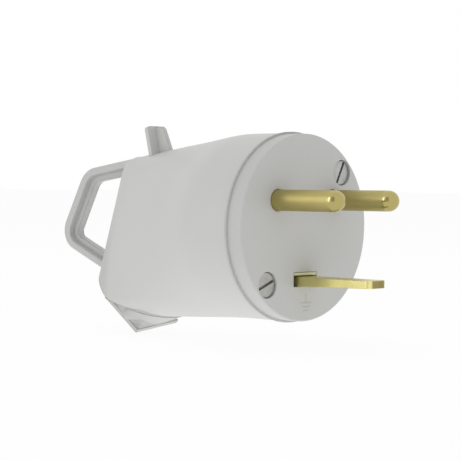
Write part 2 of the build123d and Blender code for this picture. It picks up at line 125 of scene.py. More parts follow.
class Tree:
    """A node tree that is filled one node at a time."""

    ray_samples = 6
    edge_gain = 6.0
    patch_start, patch_full = 0.42, 0.75

    def __init__(self, node_tree):
        self.nodes = node_tree.nodes
        self.links = node_tree.links
        self.nodes.clear()

    def add(self, kind, settings=None, inputs=None, output=0):
        """A node with its settings and the values or links of its sockets; returns one output."""
        node = self.nodes.new(kind)
        for name, value in (settings or {}).items():
            if name == "stops":
                self.set_stops(node.color_ramp, value)
            else:
                setattr(node, name, value)
        for name, value in (inputs or {}).items():
            self.feed(node.inputs[name], value)
        return Signal(self, node.outputs[output]) if len(node.outputs) else None

    def feed(self, socket, value):
        """Links a signal to a socket, or sets the socket's own value."""
        if isinstance(value, Signal):
            self.links.new(value.socket, socket)
        elif socket.type == "RGBA":
            socket.default_value = (*value[:3], 1.0)
        else:
            socket.default_value = value

    def set_stops(self, ramp, stops):
        """Stops of a colour ramp, each a place and a grey value."""
        while len(ramp.elements) > len(stops):
            ramp.elements.remove(ramp.elements[-1])
        while len(ramp.elements) < len(stops):
            ramp.elements.new(1.0)
        for element, (place, grey) in zip(ramp.elements, stops):
            element.position = place
            element.color = (grey, grey, grey, 1.0)

    def place(self, kind="Object"):
        """Coordinates of the surface, in metres for Object."""
        return self.add("ShaderNodeTexCoord", output=kind)

    def facing(self):
        """The way that the bare surface faces."""
        return self.add("ShaderNodeNewGeometry", output="Normal")

    def part(self, vector, axis):
        """One of the three parts of a vector."""
        return self.add("ShaderNodeSeparateXYZ", None, {0: vector}, axis)

    def stretched(self, coordinates, scale):
        """Coordinates scaled apart along X, Y and Z."""
        settings = {"operation": "MULTIPLY"}
        return self.add("ShaderNodeVectorMath", settings, {0: coordinates, 1: scale})

    def noise(self, coordinates, scale, detail=2.0, roughness=0.5):
        """Soft noise from 0 to 1."""
        sockets = {
            "Vector": coordinates, "Scale": scale, "Detail": detail, "Roughness": roughness,
        }
        return self.add("ShaderNodeTexNoise", None, sockets)

    def ramp(self, value, stops):
        """A value passed through the stops of a grey ramp."""
        return self.add("ShaderNodeValToRGB", {"stops": stops}, {"Fac": value})

    def patches(self, noise, most):
        """Only the strong patches of a noise, up to the most that they cover."""
        return self.ramp(noise, [(self.patch_start, 0.0), (self.patch_full, most)])

    def behind(self, along, start, steepness):
        """0 in front of a place along the plug, going over to 1 behind it."""
        return ((start - along) * steepness).limited()

    def blend(self, share, low, high):
        """One colour going over into another."""
        settings = {"data_type": "RGBA", "clamp_factor": True}
        return self.add("ShaderNodeMix", settings, {0: share, 6: low, 7: high}, output=2)

    def soft_edge(self, radius):
        """Normal with its edges rounded, and how strongly the edge turns there."""
        normal = self.add("ShaderNodeBevel", {"samples": self.ray_samples}, {"Radius": radius})
        settings = {"operation": "DOT_PRODUCT"}
        sockets = {0: normal, 1: self.facing()}
        turn = 1.0 - self.add("ShaderNodeVectorMath", settings, sockets, "Value")
        return normal, (turn * self.edge_gain).limited()

    def crevice(self, reach):
        """How deep in a corner or slot the surface lies, from 0 to 1."""
        settings = {"samples": self.ray_samples}
        open_share = self.add("ShaderNodeAmbientOcclusion", settings, {"Distance": reach}, "AO")
        return (1.0 - open_share).limited()

    def bump(self, height, distance, normal, strength):
        """Normal of a surface with fine relief."""
        sockets = {
            "Height": height, "Distance": distance, "Normal": normal, "Strength": strength,
        }
        return self.add("ShaderNodeBump", None, sockets, "Normal")


def new_finish(name, build, metallic=0.0):
    """A material whose Principled surface takes the sockets that a build function returns."""
    material = bpy.data.materials.new(name)
    material.use_nodes = True
    tree = Tree(material.node_tree)
    sockets = {"Metallic": metallic, **build(tree)}
    surface = tree.add("ShaderNodeBsdfPrincipled", None, sockets)
    tree.add("ShaderNodeOutputMaterial", None, {"Surface": surface})
    return material


def shade(colour, factor):
    """A colour made lighter or darker."""
    return tuple(min(channel * factor, 1.0) for channel in colour)


def dress(nodes, material):
    """Gives the CAD nodes a finish through their material slots."""
    for name in nodes:
        if name not in frame["nodes"]:
            raise RuntimeError(f"the frame has no node {name}")
        mesh = frame["nodes"][name].data
        if not mesh.materials:
            mesh.materials.append(material)
        for index in range(len(mesh.materials)):
            mesh.materials[index] = material


# Finishes, with lengths in metres and ramp stops in millimetres

# Reach and fall of the painted shade that darkens crevices, corners and slots in every finish
CREVICE_SHADE_REACH = 0.0009
CREVICE_SHADE_FALL = 2.0


def moulded_grey(name, colour, roughness, grain, rear_rounding=0.0, seams=(), edge_radius=0.0003):
    """Satin moulding: faint clouds and fine grain, with painted highlights on the edges, painted
    shade on the handle and its edges, in crevices and along seams.
    """
    rear_start, rear_steepness = -0.035, 60.0
    handle_start, handle_steepness = -0.0585, 400.0
    grain_depth, grain_strength = 0.000012, 0.5
    seam_stops = [(0.05, 1.0), (0.12, 0.0)]
    cloud_share, speck_share = 0.75, 0.25
    handle_shade_share, handle_edge_shade_share = 0.6, 0.4
    edge_highlight_share, crevice_shade_share, seam_shade_share = 0.3, 0.12, 0.3
    cloud_swing, speck_swing, edge_polish = 0.12, 0.08, 0.05
    deep, pale, painted_edge_highlight_grey = shade(colour, 0.97), shade(colour, 1.03), shade(colour, 1.06)
    painted_handle_shade, painted_crevice_shade, painted_seam_shade = shade(colour, 0.84), shade(colour, 0.35), shade(colour, 0.4)

    def build(tree):
        place = tree.place()
        along = tree.part(place, "X")
        rear = tree.behind(along, rear_start, rear_steepness)
        handle = tree.behind(along, handle_start, handle_steepness)
        normal, edge = tree.soft_edge(edge_radius + rear * rear_rounding)
        cloud = tree.noise(place, scale=45.0, detail=4.0, roughness=0.55)
        speck = tree.noise(place, scale=900.0)
        relief = tree.noise(place, scale=1.0 / grain, detail=3.0, roughness=0.6)
        crevice_shade = tree.crevice(CREVICE_SHADE_REACH) ** CREVICE_SHADE_FALL
        paint = tree.blend(cloud * cloud_share + speck * speck_share, deep, pale)
        # Painted highlight: the edges are made lighter, except on the rear
        paint = tree.blend(edge * (1.0 - rear) * edge_highlight_share, paint, painted_edge_highlight_grey)
        # Painted shade: the handle and its edges are made darker
        paint = tree.blend(handle * (handle_shade_share + edge * handle_edge_shade_share), paint, painted_handle_shade)
        # Painted shade: darker in crevices and corners
        paint = tree.blend(crevice_shade * crevice_shade_share, paint, painted_crevice_shade)
        # Painted shade: a dark line along each seam, where the gap between two parts lies
        for seam in seams:
            line = tree.ramp(abs(along - seam) * MM_PER_METRE, seam_stops)
            paint = tree.blend(line * seam_shade_share, paint, painted_seam_shade)
        gloss = roughness + cloud.swing(cloud_swing) + speck.swing(speck_swing)
        gloss = gloss - edge * edge_polish
        return {
            "Base Color": paint,
            "Roughness": gloss.limited(),
            "Normal": tree.bump(relief, grain_depth, normal, grain_strength),
        }

    return new_finish(name, build)


def turned_brass(name, colour, tarnish, roughness, front):
    """Brass from a lathe: faint rings, a shank rubbed dull, a bright round end, some tarnish."""
    end_length, end_steepness = 0.0022, 1000.0
    shank_dullness, streak_dullness = 0.26, 0.05
    relief_depth, relief_strength = 0.000003, 0.3
    ring_stretch, rubbing_stretch = (1.0, 0.01, 0.01), (0.03, 1.0, 1.0)
    streak_stops = [(0.52, 0.0), (0.7, 1.0)]  # of the rubbing, which has no unit
    stain_share, streak_share, crevice_shade_share = 0.3, 0.25, 0.15
    rubbing_swing, stain_swing = 0.05, 0.06
    ring_height, rubbing_height = 0.6, 0.4
    streaked, painted_crevice_shade = shade(tarnish, 0.9), shade(tarnish, 0.45)

    def build(tree):
        place = tree.place()
        rings = tree.noise(tree.stretched(place, ring_stretch), scale=2600.0, roughness=0.6)
        lengthwise = tree.stretched(place, rubbing_stretch)
        rubbing = tree.noise(lengthwise, scale=2200.0, detail=3.0, roughness=0.6)
        stain = tree.noise(place, scale=130.0, detail=4.0, roughness=0.6)
        streak = tree.ramp(rubbing, streak_stops)
        shank = tree.behind(tree.part(place, "X"), front - end_length, end_steepness)
        crevice_shade = tree.crevice(CREVICE_SHADE_REACH) ** CREVICE_SHADE_FALL
        paint = tree.blend(tree.patches(stain, stain_share), colour, tarnish)
        paint = tree.blend(streak * streak_share, paint, streaked)
        # Painted shade: darker in crevices, as where the pins go into the face
        paint = tree.blend(crevice_shade * crevice_shade_share, paint, painted_crevice_shade)
        dullness = shank * (shank_dullness + streak * streak_dullness)
        gloss = roughness + rubbing.swing(rubbing_swing) + stain.swing(stain_swing) + dullness
        relief = rings * ring_height + rubbing * rubbing_height
        return {
            "Base Color": paint,
            "Roughness": gloss.limited(),
            "Normal": tree.bump(relief, relief_depth, tree.facing(), relief_strength),
        }

    return new_finish(name, build, metallic=1.0)


def rolled_brass(name, colour, tarnish, roughness, cut_end=None):
    """Brass bar: drawing lines along it, painted highlights on its edges, a painted glint on its
    slanted corners, painted shade in crevices, and a dull cut end if any, darker from tarnish and
    from a painted dark reflection.
    """
    edge_radius = 0.0003
    line_stretch = (0.02, 1.0, 1.0)
    relief_depth, relief_strength = 0.000004, 0.4
    cut_stops = [(0.02, 1.0), (0.08, 0.0)]
    stain_share, line_share, crevice_shade_share = 0.45, 0.15, 0.2
    edge_highlight_share, corner_glint_share = 0.4, 0.9
    cut_share, cut_stain_share = 0.7, 0.3
    line_swing, stain_swing = 0.1, 0.12
    edge_polish, corner_polish, cut_dullness = 0.22, 0.1, 0.15
    lined, sawn_tarnish_and_reflection, painted_crevice_shade = shade(tarnish, 0.85), shade(tarnish, 0.7), shade(tarnish, 0.4)
    painted_edge_highlight, painted_glint = shade(colour, 1.2), shade(colour, 1.3)

    def build(tree):
        place = tree.place()
        normal, edge = tree.soft_edge(edge_radius)
        lengthwise = tree.stretched(place, line_stretch)
        lines = tree.noise(lengthwise, scale=2400.0, detail=3.0, roughness=0.6)
        stain = tree.noise(place, scale=150.0, detail=4.0, roughness=0.6)
        facing = tree.facing()
        slant = abs(tree.part(facing, "X")) * abs(tree.part(facing, "Y")) * 2.0
        corner = slant.limited() ** 2.0
        crevice_shade = tree.crevice(CREVICE_SHADE_REACH) ** CREVICE_SHADE_FALL
        paint = tree.blend(tree.patches(stain, stain_share), colour, tarnish)
        paint = tree.blend(lines * line_share, paint, lined)
        gloss = roughness + lines.swing(line_swing) + stain.swing(stain_swing)
        gloss = gloss - edge * edge_polish - corner * corner_polish
        # The cut end is made darker: partly tarnish, partly a painted dark reflection on the end
        # face
        if cut_end is not None:
            cut = tree.ramp((cut_end - tree.part(place, "X")) * MM_PER_METRE, cut_stops)
            paint = tree.blend(cut * (cut_share + stain * cut_stain_share), paint, sawn_tarnish_and_reflection)
            gloss = gloss + cut * cut_dullness
        # Painted highlight on the edges
        paint = tree.blend(edge * edge_highlight_share, paint, painted_edge_highlight)
        # Painted glint on the slanted corner faces
        paint = tree.blend(corner * corner_glint_share, paint, painted_glint)
        # Painted shade in crevices
        paint = tree.blend(crevice_shade * crevice_shade_share, paint, painted_crevice_shade)
        return {
            "Base Color": paint,
            "Roughness": gloss.limited(),
            "Normal": tree.bump(lines, relief_depth, normal, relief_strength),
        }

    return new_finish(name, build, metallic=1.0)


def plated_steel(name, colour, roughness, crevice_shade_share):
    """Plated screw: facing rings on the head, painted highlights on the slot edges, painted shade
    near black in and round the head.
    """
    edge_radius, steel_crevice_shade_reach = 0.00012, 0.0006
    relief_depth, relief_strength = 0.000005, 0.4
    flat, head_middle = (0.0, 1.0, 1.0), (0.0, 0.5, 0.5)
    stain_share, edge_highlight_share = 0.6, 0.5
    swirl_swing, ring_swing, crevice_dullness = 0.1, 0.08, 0.2
    stained, painted_glint, painted_crevice_black = shade(colour, 0.62), shade(colour, 1.3), (0.03, 0.03, 0.028)

    def build(tree):
        place = tree.place()
        own = tree.stretched(tree.place("Generated"), flat)
        settings = {"operation": "DISTANCE"}
        across = tree.add("ShaderNodeVectorMath", settings, {0: own, 1: head_middle}, "Value")
        normal, edge = tree.soft_edge(edge_radius)
        swirl = tree.noise(place, scale=900.0, detail=3.0)
        sockets = {"W": across, "Scale": 70.0, "Detail": 3.0}
        rings = tree.add("ShaderNodeTexNoise", {"noise_dimensions": "1D"}, sockets)
        stain = tree.noise(place, scale=420.0, detail=4.0, roughness=0.65)
        crevice_shade = tree.crevice(steel_crevice_shade_reach)
        paint = tree.blend(tree.patches(stain, stain_share), colour, stained)
        # Painted highlight on the slot edges
        paint = tree.blend(edge * edge_highlight_share, paint, painted_glint)
        # Painted shade: near black in the slot and round the head
        paint = tree.blend(crevice_shade * crevice_shade_share, paint, painted_crevice_black)
        gloss = roughness + swirl.swing(swirl_swing) + rings.swing(ring_swing)
        gloss = gloss + crevice_shade * crevice_dullness
        return {
            "Base Color": paint,
            "Roughness": gloss.limited(),
            "Normal": tree.bump(rings, relief_depth, normal, relief_strength),
        }

    return new_finish(name, build, metallic=1.0)


# Settings


class PlugFinishes(bpy.types.PropertyGroup):
    """Colours and gloss of the plug's materials"""

    housing_colour: bpy.props.FloatVectorProperty(
        name="Housing", description="Grey of the housing",
        subtype="COLOR", size=3, min=0.0, max=1.0, default=(0.545, 0.547, 0.537),
    )
    # Darker than the housing's grey of the same plastic: painted shade of the face
    shaded_base_colour: bpy.props.FloatVectorProperty(
        name="Base", description="Grey of the round pin base",
        subtype="COLOR", size=3, min=0.0, max=1.0, default=(0.505, 0.507, 0.497),
    )
    # Darker than the housing's grey of the same plastic: painted shade of the outlet, which faces
    # down
    shaded_sleeve_colour: bpy.props.FloatVectorProperty(
        name="Outlet sleeve", description="Grey of the cord outlet's mouthpiece",
        subtype="COLOR", size=3, min=0.0, max=1.0, default=(0.5, 0.5, 0.49),
    )
    carrier_colour: bpy.props.FloatVectorProperty(
        name="Carrier", description="Colour of the insulating pieces inside",
        subtype="COLOR", size=3, min=0.0, max=1.0, default=(0.6, 0.58, 0.52),
    )
    brass_colour: bpy.props.FloatVectorProperty(
        name="Brass", description="Clean brass of the pins",
        subtype="COLOR", size=3, min=0.0, max=1.0, default=(0.465, 0.4, 0.157),
    )
    blade_colour: bpy.props.FloatVectorProperty(
        name="Blade", description="Brass of the earth blade",
        subtype="COLOR", size=3, min=0.0, max=1.0, default=(0.68, 0.62, 0.265),
    )
    tarnish_colour: bpy.props.FloatVectorProperty(
        name="Tarnish", description="Brass where it has dulled",
        subtype="COLOR", size=3, min=0.0, max=1.0, default=(0.4, 0.33, 0.13),
    )
    strap_colour: bpy.props.FloatVectorProperty(
        name="Strap", description="Paler brass of the strap on the blade",
        subtype="COLOR", size=3, min=0.0, max=1.0, default=(0.54, 0.54, 0.38),
    )
    steel_colour: bpy.props.FloatVectorProperty(
        name="Screws", description="Plated steel of the screws",
        subtype="COLOR", size=3, min=0.0, max=1.0, default=(0.5, 0.5, 0.49),
    )
    moulding_roughness: bpy.props.FloatProperty(
        name="Moulding roughness", description="Roughness of the grey mouldings",
        subtype="FACTOR", min=0.0, max=1.0, default=0.42,
    )
    brass_roughness: bpy.props.FloatProperty(
        name="Brass roughness", description="Roughness of the brass",
        subtype="FACTOR", min=0.0, max=1.0, default=0.22,
    )
    grain_size: bpy.props.FloatProperty(
        name="Grain", description="Size of the mould's fine grain",
        subtype="DISTANCE", unit="LENGTH", min=0.00005, max=0.002, default=0.00028, precision=5,
    )


class EarthMarkSizes(bpy.types.PropertyGroup):
    """Sizes of the raised earth mark under the blade"""

    centre_y: bpy.props.FloatProperty(
        name="Centre", description="Place of the mark across the face",
        unit="LENGTH", default=0.0003, precision=5,
    )
    stem_top: bpy.props.FloatProperty(
        name="Stem top", description="Height of the stem's upper end",
        unit="LENGTH", default=-0.0153, precision=5,
    )
    first_bar: bpy.props.FloatProperty(
        name="First bar", description="Height of the longest bar",
        unit="LENGTH", default=-0.0173, precision=5,
    )
    bar_spacing: bpy.props.FloatProperty(
        name="Bar spacing", description="Distance from bar to bar",
        unit="LENGTH", default=0.0009, precision=5,
    )
    bar_length: bpy.props.FloatProperty(
        name="Bar length", description="Length of the longest bar",
        unit="LENGTH", default=0.0036, precision=5,
    )
    bar_step: bpy.props.FloatProperty(
        name="Bar step", description="How much shorter each next bar is",
        unit="LENGTH", default=0.001, precision=5,
    )
    stroke: bpy.props.FloatProperty(
        name="Stroke", description="Width of the raised lines",
        unit="LENGTH", default=0.00032, precision=5,
    )
    relief: bpy.props.FloatProperty(
        name="Relief", description="Height of the lines above the face",
        unit="LENGTH", default=0.00004, precision=5,
    )


class OutletCheekSizes(bpy.types.PropertyGroup):
    """Sizes of the cheeks that close the neck of the cord outlet above its lip"""

    half_width: bpy.props.FloatProperty(
        name="Half width", description="Reach of a cheek from the cord's axis at its rear end",
        unit="LENGTH", default=0.00775, precision=5,
    )
    taper: bpy.props.FloatProperty(
        name="Taper", description="How fast the cheeks draw in towards the front",
        subtype="FACTOR", default=0.14,
    )
    inner: bpy.props.FloatProperty(
        name="Inner side", description="Distance of the hidden inner side from the axis",
        unit="LENGTH", default=0.0052, precision=5,
    )
    rear: bpy.props.FloatProperty(
        name="Rear", description="Rear end, measured from the axis along the lip",
        unit="LENGTH", default=-0.0026, precision=5,
    )
    front: bpy.props.FloatProperty(
        name="Front", description="Front end, measured from the axis along the lip",
        unit="LENGTH", default=0.0034, precision=5,
    )
    foot: bpy.props.FloatProperty(
        name="Foot", description="Depth of the foot, just in the lip",
        unit="LENGTH", default=-0.00025, precision=5,
    )
    head: bpy.props.FloatProperty(
        name="Head", description="Depth of the head at the axis, just in the wall",
        unit="LENGTH", default=0.00145, precision=5,
    )
    head_slope: bpy.props.FloatProperty(
        name="Head slope", description="How fast the wall draws away towards the front",
        subtype="FACTOR", default=0.53,
    )
    lean: bpy.props.FloatProperty(
        name="Lean", description="How far the head of a cheek leans in",
        unit="LENGTH", default=0.0004, precision=5,
    )
    hollow: bpy.props.FloatProperty(
        name="Hollow", description="Depth of the cheek's hollow curve",
        unit="LENGTH", default=0.00012, precision=5,
    )


class OutletSkirtSizes(bpy.types.PropertyGroup):
    """Sizes of the run-out between the neck of the cord outlet, its lip and the housing"""

    middle: bpy.props.FloatProperty(
        name="Middle", description="Middle of the neck, measured from the axis along the lip",
        unit="LENGTH", default=0.0025, precision=5,
    )
    lip_top: bpy.props.FloatProperty(
        name="Lip top", description="Depth of the lip's inner face",
        unit="LENGTH", default=-0.0002, precision=5,
    )
    rise: bpy.props.FloatProperty(
        name="Rise", description="Greatest height of the run-out on the neck",
        unit="LENGTH", min=0.0, default=0.0022, precision=5,
    )
    inner_side: bpy.props.FloatProperty(
        name="Inner side", description="How far the hidden inner side lies in the neck",
        unit="LENGTH", min=0.0, default=0.0006, precision=5,
    )
    sink: bpy.props.FloatProperty(
        name="Sink", description="How deep the edges sit in the lip and in the neck",
        unit="LENGTH", min=0.0, default=0.00004, precision=5,
    )


class PinRootSizes(bpy.types.PropertyGroup):
    """Sizes of the rings that fill the groove round the pins' necks"""

    front: bpy.props.FloatProperty(
        name="Front", description="Where a ring ends, just in the shank",
        unit="LENGTH", default=0.00003, precision=5,
    )
    bottom: bpy.props.FloatProperty(
        name="Bottom", description="Where a ring starts in its hole",
        unit="LENGTH", default=-0.00055, precision=5,
    )
    inner_radius: bpy.props.FloatProperty(
        name="Inner radius", description="Inside of a ring, just in the neck",
        unit="LENGTH", default=0.00198, precision=5,
    )
    play: bpy.props.FloatProperty(
        name="Play", description="How much less a ring reaches out than the shank",
        unit="LENGTH", default=0.000005, precision=6,
    )


class StageSettings(bpy.types.PropertyGroup):
    """Floor, light and camera"""

    floor_gap: bpy.props.FloatProperty(
        name="Floor gap", description="Room between the plug and the floor",
        unit="LENGTH", default=0.0006,
    )
    floor_size: bpy.props.FloatProperty(
        name="Floor size", description="Width of the floor", unit="LENGTH", default=16.0,
    )
    ambient: bpy.props.FloatProperty(
        name="Ambient", description="Strength of the even light from all round",
        min=0.0, default=0.67,
    )
    floor_glow: bpy.props.FloatProperty(
        name="Floor glow", description="Light that the floor gives to the plug's underside",
        min=0.0, default=1.24,
    )
    strip_energy: bpy.props.FloatProperty(
        name="Strip lamp", description="Power of the tall lamp that glints in the brass",
        unit="POWER", min=0.0, default=2.0,
    )
    top_energy: bpy.props.FloatProperty(
        name="Top lamp", description="Power of the wide lamp above",
        unit="POWER", min=0.0, default=2.5,
    )
    card_grey: bpy.props.FloatProperty(
        name="Card", description="Grey of the card that the brass reflects",
        subtype="FACTOR", min=0.0, max=1.0, default=0.4,
    )
    camera_place: bpy.props.FloatVectorProperty(
        name="Camera", description="Place of the camera",
        subtype="TRANSLATION", size=3, default=(0.23884, -0.27365, 0.00957),
    )
    camera_turn: bpy.props.FloatVectorProperty(
        name="Camera turn", description="Rotation of the camera", subtype="EULER", size=3,
        default=(radians(88.3801), radians(-0.4954), radians(43.8666)),
    )
    camera_lens: bpy.props.FloatProperty(
        name="Lens", description="Focal length on a 36 mm sensor", unit="CAMERA", default=123.81,
    )


# Shapes


def add_piece(context, name, bm, material):
    """Makes a new piece of the plug from its mesh, in one finish."""
    bmesh.ops.recalc_face_normals(bm, faces=bm.faces)
    mesh = bpy.data.meshes.new(name)
    bm.to_mesh(mesh)
    bm.free()
    mesh.materials.append(material)
    piece = bpy.data.objects.new(name, mesh)
    context.scene.collection.objects.link(piece)
    return piece


def join_loops(bm, loops, smooth_sides=0, ring=False):
    """Joins loops of vertices to a closed skin: a ring, or else a strip with a cap at each end."""
    pairs = list(zip(loops, loops[1:]))
    if ring:
        pairs.append((loops[-1], loops[0]))
    for rear, front in pairs:
        for corner in range(len(rear)):
            after = (corner + 1) % len(rear)
            face = bm.faces.new((rear[corner], rear[after], front[after], front[corner]))
            face.smooth = corner < smooth_sides
    if not ring:
        bm.faces.new(loops[0])
        bm.faces.new(list(reversed(loops[-1])))


def cord_outlet():
    """Middle of the outlet's mouth, and the ways out of it, across the plug and along the lip."""
    outlet = [mount for mount in frame["record"]["mounts"] if mount["name"] == "cord_outlet"]
    if not outlet:
        raise RuntimeError("the record has no cord outlet")
    axis = Vector(outlet[0]["axis"])
    across = Vector((0.0, 1.0, 0.0))
    half_length = outlet[0]["dims"]["length_mm"] / MM_PER_METRE / 2
    return Vector(outlet[0]["pos_m"]) + axis * half_length, axis, across, axis.cross(across)


def outlet_piece(context, name, bm):
    """Makes a piece of the outlet, in the sleeve's finish, that rides with the plug."""
    piece = add_piece(context, name, bm, frame["nodes"]["outlet_sleeve"].data.materials[0])
    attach(piece, "root")


# Operators


class PLUG_OT_mouldings(bpy.types.Operator):
    """Finish the grey mouldings and the insulating pieces inside"""

    bl_idname = "plug.mouldings"
    bl_label = "Mouldings"

    spigot_depth = 0.0018
    base_dullness = 0.04
    carrier_dullness, carrier_grain = 0.1, 2.0
    housing_rounding, sleeve_rounding = 0.0006, 0.0002

    def execute(self, context):
        look = context.scene.plug_finishes
        rough, grain = look.moulding_roughness, look.grain_size
        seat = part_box("pin_base")[0][0] + self.spigot_depth
        # The housing and the base get a painted shade line at the seam where they meet
        housing = moulded_grey(
            "housing_moulding", look.housing_colour, rough, grain,
            rear_rounding=self.housing_rounding, seams=[seat],
        )
        base = moulded_grey(
            "base_moulding", look.shaded_base_colour, rough + self.base_dullness, grain, seams=[seat],
        )
        sleeve = moulded_grey(
            "sleeve_moulding", look.shaded_sleeve_colour, rough, grain,
            rear_rounding=self.sleeve_rounding,
        )
        carrier = moulded_grey(
            "carrier_moulding", look.carrier_colour, rough + self.carrier_dullness,
            self.carrier_grain * grain,
        )
        dress(["housing"], housing)
        dress(["pin_base"], base)
        dress(["outlet_sleeve"], sleeve)
        dress(["terminal_carrier", "clamp_bar"], carrier)
        return {"FINISHED"}


class PLUG_OT_brass(bpy.types.Operator):
    """Finish the pins, the blade, the strap and the inserts"""

    bl_idname = "plug.brass"
    bl_label = "Brass"

    blade_dullness = 0.18
    strap_dullness = 0.16
    insert_shade = 0.9

    def execute(self, context):
        look = context.scene.plug_finishes
        dull, rough = look.tarnish_colour, look.brass_roughness
        pin_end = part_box("line_pin_left")[1][0]
        blade_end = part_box("earth_blade")[1][0]
        insert_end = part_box("cover_insert_upper")[1][0]
        pins = turned_brass("pin_brass", look.brass_colour, dull, rough, pin_end)
        blade = rolled_brass(
            "blade_brass", look.blade_colour, dull, rough + self.blade_dullness, blade_end,
        )
        strap = rolled_brass("strap_brass", look.strap_colour, dull, rough + self.strap_dullness)
        insert_colour = shade(look.brass_colour, self.insert_shade)
        inserts = turned_brass("insert_brass", insert_colour, dull, rough, insert_end)
        dress(["line_pin_left", "line_pin_right"], pins)
        dress(["earth_blade"], blade)
        dress(["earth_strap"], strap)
        dress(["cover_insert_upper", "cover_insert_lower"], inserts)
        return {"FINISHED"}


class PLUG_OT_screws(bpy.types.Operator):
    """Finish the cover screws and the screws of the terminals"""

    bl_idname = "plug.screws"
    bl_label = "Screws"

    cover_nodes = ["cover_screw_upper", "cover_screw_lower"]
    terminal_nodes = [
        "line_screw_left", "line_screw_right", "earth_screw", "earth_washer",
        "carrier_screw_left", "carrier_screw_right", "clamp_screw_left", "clamp_screw_right",
    ]

    def execute(self, context):
        steel = context.scene.plug_finishes.steel_colour
        cover = plated_steel("cover_screw_steel", steel, roughness=0.48, crevice_shade_share=0.3)
        terminal = plated_steel("terminal_steel", steel, roughness=0.32, crevice_shade_share=0.5)
        dress(self.cover_nodes, cover)
        dress(self.terminal_nodes, terminal)
        return {"FINISHED"}


class PLUG_OT_earth_mark(bpy.types.Operator):
    """Raise the earth mark on the face under the blade"""

    bl_idname = "plug.earth_mark"
    bl_label = "Earth mark"

    bars = 3
    outline_steps = 24
    foot = 0.00002
    # Height and width of each upper level, as shares of the relief and of the stroke
    upper_levels = [(0.55, 0.94), (0.88, 0.75), (1.0, 0.4)]
    # The mark's grey is the base's grey made darker: painted shade of its low relief
    tone = 0.86
    edge_radius = 0.00003

    def execute(self, context):
        size = context.scene.plug_earth_mark
        bm = bmesh.new()
        self.stroke(bm, size, (size.centre_y, size.stem_top), (size.centre_y, size.first_bar))
        for count in range(self.bars):
            reach = (size.bar_length - count * size.bar_step) / 2
            height = size.first_bar - count * size.bar_spacing
            self.stroke(bm, size, (size.centre_y - reach, height), (size.centre_y + reach, height))
        for face in bm.faces:
            face.smooth = True
        look = context.scene.plug_finishes
        finish = moulded_grey(
            "mark_moulding", shade(look.shaded_base_colour, self.tone), look.moulding_roughness,
            look.grain_size, edge_radius=self.edge_radius,
        )
        mark = add_piece(context, "earth_mark", bm, finish)
        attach(mark, "root")
        return {"FINISHED"}

    def stroke(self, bm, size, start, end):
        """A raised line with round ends and a rounded top, its foot just in the face."""
        first, last = Vector((0.0, *start)), Vector((0.0, *end))
        along = (last - first).normalized()
        side = Vector((1.0, 0.0, 0.0)).cross(along)
        levels = [(-self.foot, 1.0)]
        levels += [(size.relief * rise, width) for rise, width in self.upper_levels]
        loops = []
        for height, width in levels:
            loop = []
            for step in range(self.outline_steps):
                turn = 2 * pi * (step + 0.5) / self.outline_steps
                reach = (along * cos(turn) + side * sin(turn)) * width * size.stroke / 2
                spot = (last if cos(turn) > 0 else first) + reach
                loop.append(bm.verts.new((height, spot.y, spot.z)))
            loops.append(loop)
        join_loops(bm, loops)


class PLUG_OT_outlet_cheeks(bpy.types.Operator):
    """Close the neck of the cord outlet at both sides, between its lip and the housing"""

    bl_idname = "plug.outlet_cheeks"
    bl_label = "Outlet cheeks"

    length_steps = 12
    height_steps = 6

    def execute(self, context):
        size = context.scene.plug_outlet_cheeks
        bm = bmesh.new()
        for side in (-1.0, 1.0):
            self.cheek(bm, size, side)
        outlet_piece(context, "outlet_cheeks", bm)
        return {"FINISHED"}

    def cheek(self, bm, size, side):
        """One closed cheek, in sections from the rear to the front."""
        mouth, axis, across, along = cord_outlet()
        loops = []
        for step in range(self.length_steps + 1):
            place = size.rear + (size.front - size.rear) * step / self.length_steps
            middle = mouth + along * place
            loops.append([
                bm.verts.new(middle + across * side * out - axis * depth)
                for out, depth in self.section(size, place)
            ])
        join_loops(bm, loops, smooth_sides=self.height_steps)

    def section(self, size, place):
        """Corners at one place along the lip: up the hollow outside, then down the inside."""
        reach = size.half_width - size.taper * (place - size.rear)
        top = size.head + size.head_slope * place
        corners = []
        for level in range(self.height_steps + 1):
            share = level / self.height_steps
            out = reach - size.lean * share - size.hollow * sin(pi * share)
            corners.append((out, size.foot + (top - size.foot) * share))
        return corners + [(size.inner, top), (size.inner, size.foot)]


